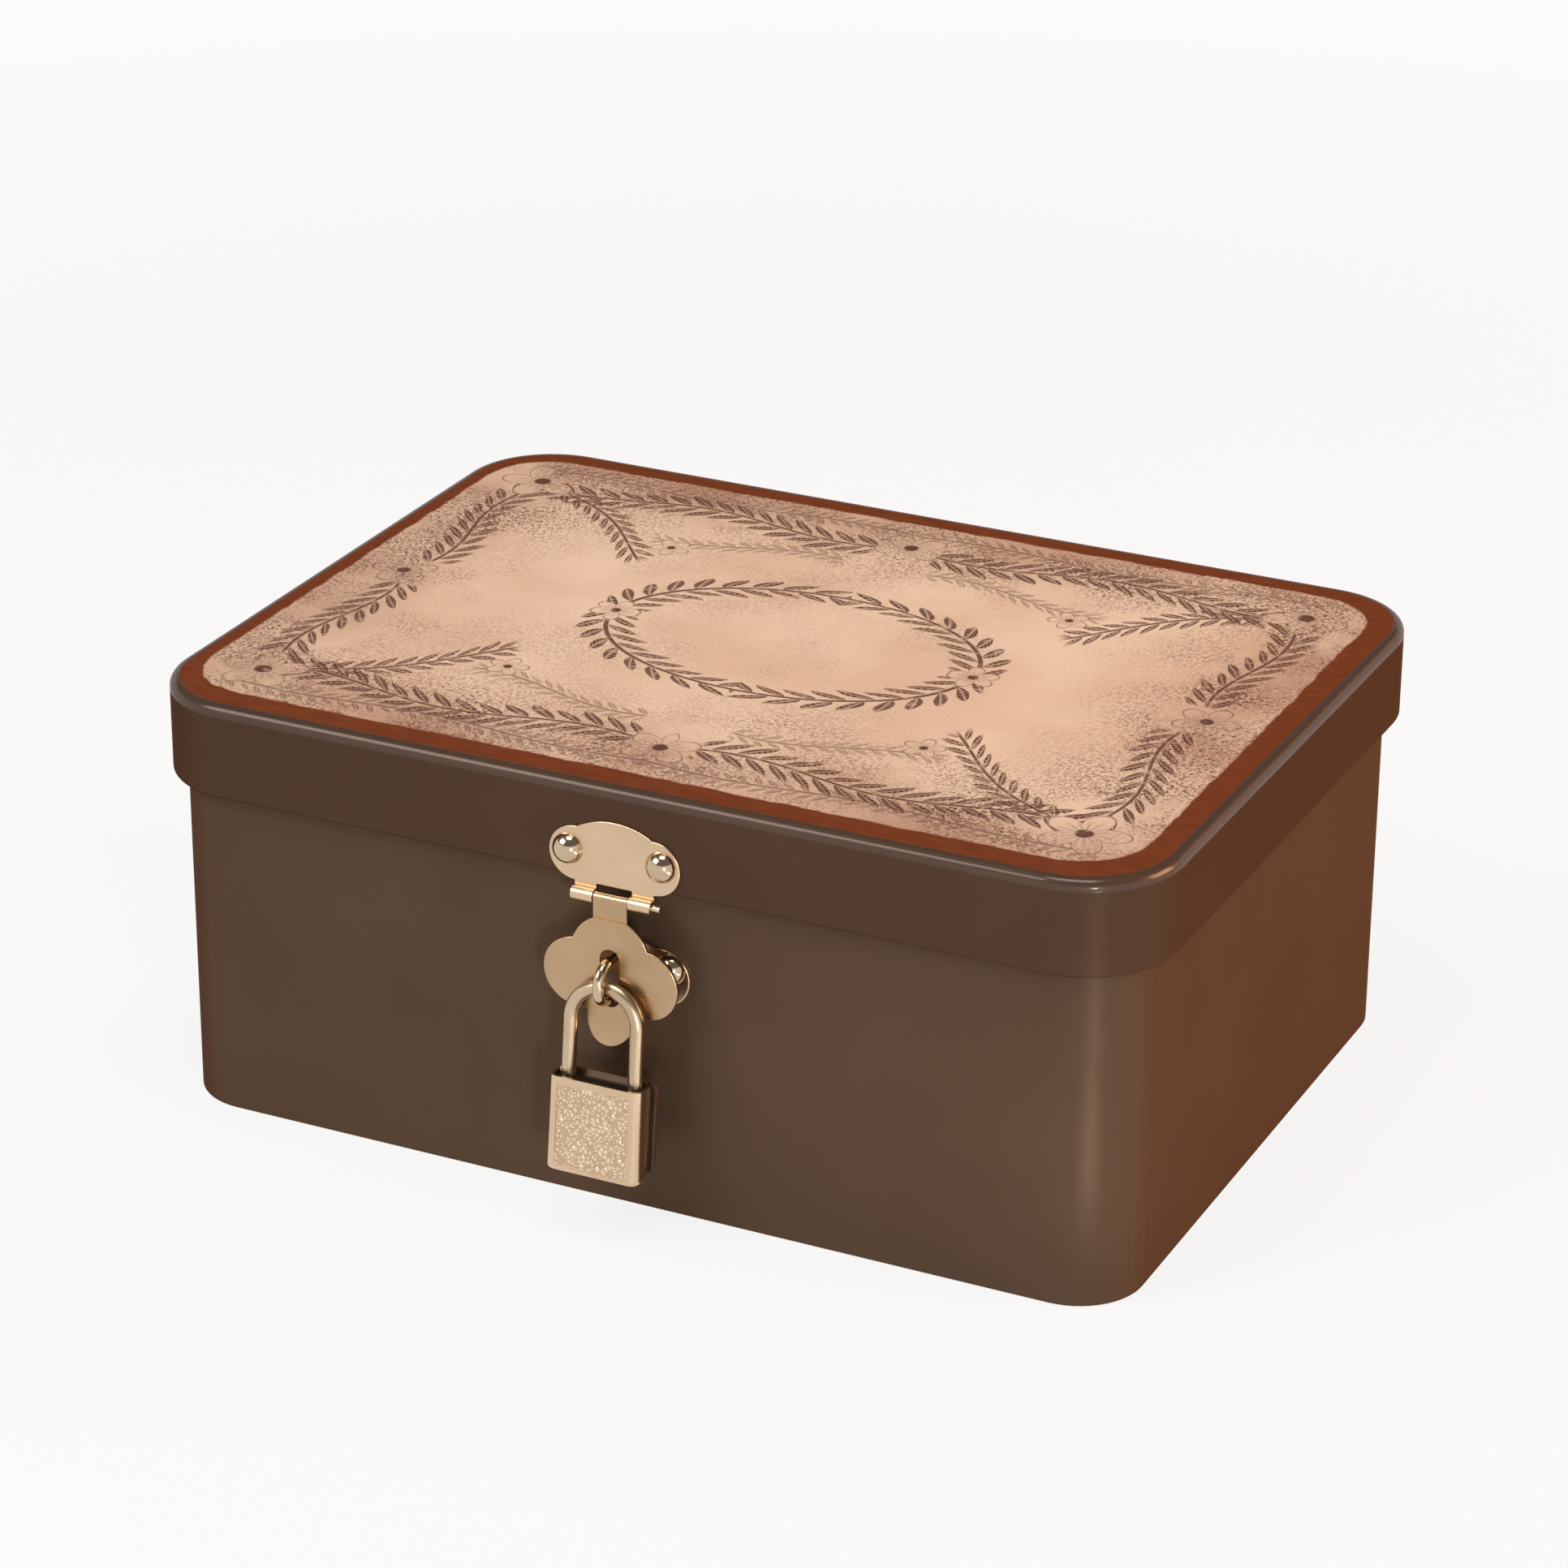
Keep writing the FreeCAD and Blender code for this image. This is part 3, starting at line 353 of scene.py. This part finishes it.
speck_place = {"Vector": lid_finish.mm, "Scale": 0.85, "Randomness": 1.0}
specks = lid_finish.node("TexVoronoi", {"voronoi_dimensions": "2D"}, speck_place, "Distance").edge(0.42, 0.26)
curls = lid_finish.noise(1.5, 1.0).edge(0.5, 0.6)
thicket = lid_finish.noise(0.05, 4.0).edge(0.36, 0.58) * field_in.edge(58.0, 6.0)
haze = lid_finish.noise(0.03, 3.0).edge(0.4, 0.7) * 0.35
stipple = (specks * 0.45 + curls * 0.55) * (thicket * 0.85 + haze * field_in.edge(4.0, 12.0))
worn = 1 - lid_finish.noise(0.35, 5.0).edge(0.52, 0.7) * 0.4
ink = ink.math("MAXIMUM", stipple) * worn
picture = lid_finish.mix(ink, paper, paint(*INK))

brush = lid_finish.noise(0.15, 4.0) - 0.5
strokes = lid_finish.noise(0.5, 4.0, (0.25, 1.0, 1.0)).edge(0.3, 0.75)
russet = lid_finish.mix(strokes, paint(*RUSSET), paint(*RUSSET_DEEP))
printed = lid_finish.mix((field_in + brush * 2.0).edge(-0.3, 0.5), russet, picture)
on_top = lid_z.edge(LID_TOP - 0.2, LID_TOP - 0.1) * lid_in.edge(*PRINT_START)
outside = lid_finish.mix(on_top, lid_lacquer, printed)
inside = lid_in.edge(*SKIN_DEPTH) * lid_z.edge(*HEM_TOP) * lid_z.edge(LID_TOP - 0.15, LID_TOP - 0.25)
inside = inside * (lid_in.edge(*CEILING_START).math("MAXIMUM", lid_z.edge(*BEND_TOP)))
lid_finish.surface(Base_Color=lid_finish.mix(inside, outside, varnished_tin(lid_finish)))
lid_finish.surface(Metallic=(LACQUER_METAL + inside * TIN_MORE_METAL) * (1 - on_top))
lid_roughness = LACQUER_ROUGHNESS - inside * TIN_LESS_ROUGHNESS
lid_finish.surface(Roughness=lid_roughness + on_top * PRINT_MORE_ROUGHNESS)
rim = lid_z.edge(*RIM_START) * (1 - on_top) * (1 - inside)
lid_finish.surface(Coat_Weight=rim * RIM_COAT, Coat_Roughness=0.14, Coat_IOR=1.5)
lid_finish.wear(nodes["lid_shell"])


# Hasp: a lobed plate and leaf stamped from steel sheet, hinged on a pin, with domed rivets. All of it is
# barrel-plated in pale champagne nickel, bright on the rivets and satin on the flat stampings.
NICKEL = (220, 193, 162)
NICKEL_SHADE = (212, 184, 152)
# Painted shade: the leaf has the same plating as the plates, and its darker nickel stands in for the shade of
# its downward tilt.
LEAF_NICKEL_WITH_PAINTED_SHADE = (192, 162, 128)
LEAF_NICKEL_CLOUD_WITH_PAINTED_SHADE = (182, 152, 118)
BRIGHT_NICKEL = (208, 186, 156)
BRIGHT_NICKEL_SHADE = (196, 172, 142)


def nickelled(name, colour, shade, roughness, grain):
    """Champagne nickel plate of a given gloss, with the fine scratches of barrel finishing."""
    finish = Finish(name)
    cloud = finish.noise(0.06, 2.0).edge(0.3, 0.7)
    scratch = finish.noise(3.0, 4.0, (0.1, 1.0, 1.0))
    finish.surface(Base_Color=finish.mix(cloud, paint(*colour), paint(*shade)), Metallic=1.0)
    finish.surface(Roughness=roughness + cloud * 0.03 + scratch * 0.06)
    finish.surface(Normal=finish.bump(scratch, grain, 0.6))
    return finish


plate_nickel = nickelled("satin_nickel_on_plates", NICKEL, NICKEL_SHADE, 0.24, 0.0004)
for name in ("hasp_plate", "staple_plate"):
    plate_nickel.wear(nodes[name])
# Painted shade: the leaf's nickel is darker than the plates' to stand in for the shade that its tilt catches.
leaf_nickel_painted_shade = nickelled("satin_nickel_with_painted_shade_on_leaf", LEAF_NICKEL_WITH_PAINTED_SHADE, LEAF_NICKEL_CLOUD_WITH_PAINTED_SHADE, 0.22, 0.0004)
leaf_nickel_painted_shade.wear(nodes["hasp_leaf"])

bright_nickel = nickelled("bright_nickel", BRIGHT_NICKEL, BRIGHT_NICKEL_SHADE, 0.07, 0.001)
for name in ("hasp_pin", "hasp_rivet_left", "hasp_rivet_right",
             "staple_rivet_left", "staple_rivet_right", "staple"):
    bright_nickel.wear(nodes[name])


# Padlock: a bent rod shackle in a pressed case of front shell and back plate round a dark lock body. The
# front shell has a sunk panel with a pebbled leather grain. Plug and latch are brass, and the latch's spring
# is shown by a smoothed copy.
CORE_DARK = (62, 54, 48)
CORE_BLACK = (38, 33, 30)
BRASS = (196, 164, 104)
BRASS_SHADE = (166, 134, 80)
SHACKLE_NICKEL = (206, 184, 156)
SHACKLE_NICKEL_SHADE = (192, 168, 138)
CROWN = (0.0, -90.4048, 59.2753)
LEAN = 6.0
# Painted shade: the second panel colour and its height levels darken the hollows between the pebbles by their
# depth.
PEBBLE = (234, 210, 182)
GROOVE_PAINTED_SHADE = (198, 170, 140)
PANEL_WIDTH = 18.16
PANEL_HEIGHT = 19.56
PANEL_MIDDLE = (-3.9, -33.4)
PANEL_BASE = -0.00002
PANEL_BACK = -0.00008
PEBBLE_SIZE = 0.00105
PEBBLE_RISE = 0.00015
PAINTED_SHADE_GROOVE_LEVEL = (0.1, 0.03)

shackle_nickel = nickelled("drawn_nickel_on_shackle", SHACKLE_NICKEL, SHACKLE_NICKEL_SHADE, 0.27, 0.001)
shackle_nickel.wear(nodes["shackle"])
case_nickel = nickelled("brushed_nickel_on_case", NICKEL, NICKEL_SHADE, 0.2, 0.002)
for name in ("lock_front_shell", "lock_back_plate"):
    case_nickel.wear(nodes[name])

bpy.ops.mesh.primitive_grid_add(x_subdivisions=160, y_subdivisions=172, size=0.001)
grain_panel = bpy.context.object
grain_panel.name = "lock_grain_panel"
bpy.ops.object.mode_set(mode="EDIT")
bpy.ops.transform.resize(value=(PANEL_WIDTH, PANEL_HEIGHT, 1.0))
bpy.ops.transform.translate(value=(0.0, 0.0, PANEL_BASE))
bpy.ops.object.mode_set(mode="OBJECT")
pebbles = bpy.data.textures.new("pebbled_leather", "VORONOI")
pebbles.noise_scale = PEBBLE_SIZE
pebbles.weight_1 = -1.0
pebbles.weight_2 = 1.0
pebbles.noise_intensity = 6.0
embossing = grain_panel.modifiers.new("embossing", "DISPLACE")
embossing.texture = pebbles
embossing.texture_coords = "LOCAL"
embossing.mid_level = 0.0
embossing.strength = PEBBLE_RISE
bpy.ops.object.modifier_apply(modifier="embossing")
bpy.ops.object.mode_set(mode="EDIT")
bpy.ops.mesh.select_all(action="SELECT")
bpy.ops.mesh.vertices_smooth(factor=0.5, repeat=2)
bpy.ops.mesh.select_all(action="DESELECT")
bpy.ops.mesh.select_mode(type="EDGE")
bpy.ops.mesh.select_non_manifold()
bpy.ops.mesh.extrude_edges_move()
bpy.ops.transform.resize(value=(1.0, 1.0, 0.0), center_override=(0.0, 0.0, PANEL_BACK))
bpy.ops.mesh.edge_face_add()
bpy.ops.mesh.select_all(action="SELECT")
bpy.ops.mesh.normals_make_consistent(inside=False)
bpy.ops.object.mode_set(mode="OBJECT")
bpy.ops.object.shade_smooth_by_angle(angle=math.radians(50))
lean = math.radians(-LEAN)
panel_y, panel_z = PANEL_MIDDLE
grain_panel.rotation_euler = (math.radians(90) + lean, 0.0, 0.0)
panel_place = Vector((CROWN[0], CROWN[1] + panel_y * math.cos(lean) - panel_z * math.sin(lean),
                      CROWN[2] + panel_y * math.sin(lean) + panel_z * math.cos(lean))) / 1000
grain_panel.location = panel_place
bpy.ops.object.transform_apply(location=True, rotation=True, scale=True)
grain_nickel = nickelled("embossed_nickel_with_painted_groove_shade_on_panel", NICKEL, NICKEL_SHADE, 0.2, 0.0)
grain_y, grain_z = grain_nickel.axes()[1:]
sunk_y, sunk_z = (1000 * part for part in panel_place[1:])
pebble_height = (grain_z - sunk_z) * -math.sin(lean) - (grain_y - sunk_y) * math.cos(lean)
# Painted shade: the lower a place lies between the pebbles, the darker its colour.
groove_painted_shade = pebble_height.edge(*PAINTED_SHADE_GROOVE_LEVEL)
grain_nickel.surface(Base_Color=grain_nickel.mix(groove_painted_shade, paint(*PEBBLE), paint(*GROOVE_PAINTED_SHADE)))
grain_nickel.surface(Roughness=0.2 + groove_painted_shade * 0.2)
grain_nickel.wear(grain_panel)
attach(grain_panel, "padlock")

core_finish = Finish("dark_lock_metal")
tarnish = core_finish.noise(0.15, 2.0).edge(0.3, 0.7)
core_finish.surface(Base_Color=core_finish.mix(tarnish, paint(*CORE_DARK), paint(*CORE_BLACK)))
core_finish.surface(Metallic=0.85, Roughness=0.22 + tarnish * 0.12)
core_finish.wear(nodes["lock_core"])

latch_coil = bpy.data.objects.new("latch_coil", nodes["latch_spring"].data.copy())
bpy.context.collection.objects.link(latch_coil)
bpy.ops.object.select_all(action="DESELECT")
latch_coil.select_set(True)
bpy.context.view_layer.objects.active = latch_coil
bpy.ops.object.mode_set(mode="EDIT")
bpy.ops.mesh.select_all(action="SELECT")
bpy.ops.mesh.remove_doubles(threshold=0.000001)
bpy.ops.object.mode_set(mode="OBJECT")
bpy.ops.object.shade_smooth_by_angle(angle=math.radians(40))
steel_finish.wear(latch_coil)
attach(latch_coil, "padlock")
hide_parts("latch_spring")
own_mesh(latch_coil)

brass_finish = Finish("machined_brass")
turned = brass_finish.noise(1.2, 4.0, (0.15, 1.0, 1.0))
brass_finish.surface(Base_Color=brass_finish.mix(turned, paint(*BRASS), paint(*BRASS_SHADE)))
brass_finish.surface(Metallic=1.0, Roughness=0.24 + turned * 0.12)
for name in ("key_plug", "latch"):
    brass_finish.wear(nodes[name])


# Studio: a pale round cove, soft boxes on the left and overhead, a strip by the camera, a warm box on the
# right, a bright card on the table by the near corner, and the camera where the photographer stood.
COVE_RADIUS = 3.0
COVE_HEIGHT = 1.3
COVE_ROUND = 1.1
FLOOR_COLOUR = (0.72, 0.72, 0.72, 1.0)
FLOOR_WHITE = 0.84
FAR_FLOOR = (450.0, 1300.0)
BOX_CENTRE = Vector((0.0, 0.007, 0.055))
CARD_PLACE = (0.2, -0.19, 0.003)
CARD_TURN = (math.pi, 0.0, math.radians(-51))
CARD_SIZE = (0.2, 0.03)
CARD_POWER = 0.09
ROOM_LIGHT = 0.2

bpy.ops.mesh.primitive_circle_add(vertices=128, radius=COVE_RADIUS, fill_type="NGON")
floor = bpy.context.object
floor.name = "studio_floor"
bpy.ops.object.mode_set(mode="EDIT")
bpy.ops.mesh.select_mode(type="EDGE")
bpy.ops.mesh.select_all(action="DESELECT")
bpy.ops.mesh.select_non_manifold()
bpy.ops.mesh.extrude_edges_move(TRANSFORM_OT_translate={"value": (0.0, 0.0, COVE_HEIGHT)})
bpy.ops.mesh.select_all(action="DESELECT")
bpy.ops.object.mode_set(mode="OBJECT")
for edge in floor.data.edges:
    edge.select = all(floor.data.vertices[end].co.z < 0.01 for end in edge.vertices)
bpy.ops.object.mode_set(mode="EDIT")
bpy.ops.mesh.bevel(offset=COVE_ROUND, segments=16)
bpy.ops.object.mode_set(mode="OBJECT")
bpy.ops.object.shade_smooth()
floor_finish = Finish("pale_floor")
floor_finish.surface(Base_Color=FLOOR_COLOUR, Roughness=0.9, Specular_IOR_Level=0.1)
seen = floor_finish.node("LightPath", {}, {}, "Is Camera Ray")
for ray in ("Is Glossy Ray", "Is Transmission Ray"):
    seen = seen.math("MAXIMUM", floor_finish.node("LightPath", {}, {}, ray))
cove_x, cove_y = floor_finish.axes()[:2]
far_off = (cove_x * cove_x + cove_y * cove_y).math("SQRT").edge(*FAR_FLOOR)
white = floor_finish.node("Emission", {}, {"Color": (1.0, 1.0, 1.0, 1.0), "Strength": 1.0})
lit = Level(floor_finish, floor_finish.shader.outputs["BSDF"])
white_share = seen * (FLOOR_WHITE + far_off * (1 - FLOOR_WHITE))
sheet_of_paper = floor_finish.node("MixShader", {}, {0: white_share, 1: lit, 2: white})
floor_finish.set(floor_finish.tree.nodes["Material Output"].inputs["Surface"], sheet_of_paper)
floor_finish.wear(floor)


def soft_box(name, azimuth, elevation, distance, width, height, power, tint):
    """A rectangular lamp round the box, turned to face it."""
    turn, rise = math.radians(azimuth), math.radians(elevation)
    away = Vector((math.sin(turn) * math.cos(rise), -math.cos(turn) * math.cos(rise), math.sin(rise)))
    bpy.ops.object.light_add(type="AREA", location=BOX_CENTRE + away * distance)
    lamp = bpy.context.object
    lamp.name = name
    lamp.rotation_euler = away.to_track_quat("Z", "Y").to_euler()
    lamp.data.shape = "RECTANGLE"
    lamp.data.size = width
    lamp.data.size_y = height
    lamp.data.energy = power
    lamp.data.color = tint
    lamp.visible_camera = False


soft_box("key_soft_box", -40, 42, 1.6, 0.9, 0.7, 12, (1.0, 0.985, 0.96))
soft_box("overhead_soft_box", 10, 80, 1.7, 0.8, 0.6, 10.5, (1.0, 0.99, 0.97))
soft_box("strip_by_camera", 36, 4, 1.2, 0.14, 0.24, 4, (1.0, 0.98, 0.95))
soft_box("warm_side_box", 112, 20, 1.4, 0.7, 0.7, 16, (1.0, 0.57, 0.26))

bpy.ops.object.light_add(type="AREA", location=CARD_PLACE, rotation=CARD_TURN)
table_card = bpy.context.object
table_card.name = "card_on_table"
table_card.data.shape = "RECTANGLE"
table_card.data.size, table_card.data.size_y = CARD_SIZE
table_card.data.energy = CARD_POWER
table_card.visible_camera = False

room = bpy.data.worlds.new("studio_room")
room.use_nodes = True
room.node_tree.nodes["Background"].inputs["Color"].default_value = (0.95, 0.95, 0.96, 1.0)
room.node_tree.nodes["Background"].inputs["Strength"].default_value = ROOM_LIGHT
bpy.context.scene.world = room
bpy.context.scene.view_settings.view_transform = "Standard"

LENS_AZIMUTH = math.radians(25.5874)
LENS_ELEVATION = math.radians(24.1225)
LENS_ROLL = math.radians(0.3403)
LENS_TARGET = Vector((-0.004932, 0.011390, 0.067231))
LENS_DISTANCE = 1.21636
back = Vector((math.sin(LENS_AZIMUTH) * math.cos(LENS_ELEVATION),
               -math.cos(LENS_AZIMUTH) * math.cos(LENS_ELEVATION), math.sin(LENS_ELEVATION)))
bpy.ops.object.camera_add(location=LENS_TARGET + back * LENS_DISTANCE)
camera = bpy.context.object
camera.name = "photo_camera"
camera.rotation_mode = "QUATERNION"
camera.rotation_quaternion = (-back).to_track_quat("-Z", "Y") @ Quaternion((0, 0, 1), LENS_ROLL)
camera.data.sensor_width = 36.0
camera.data.lens = 116.896
bpy.context.scene.camera = camera
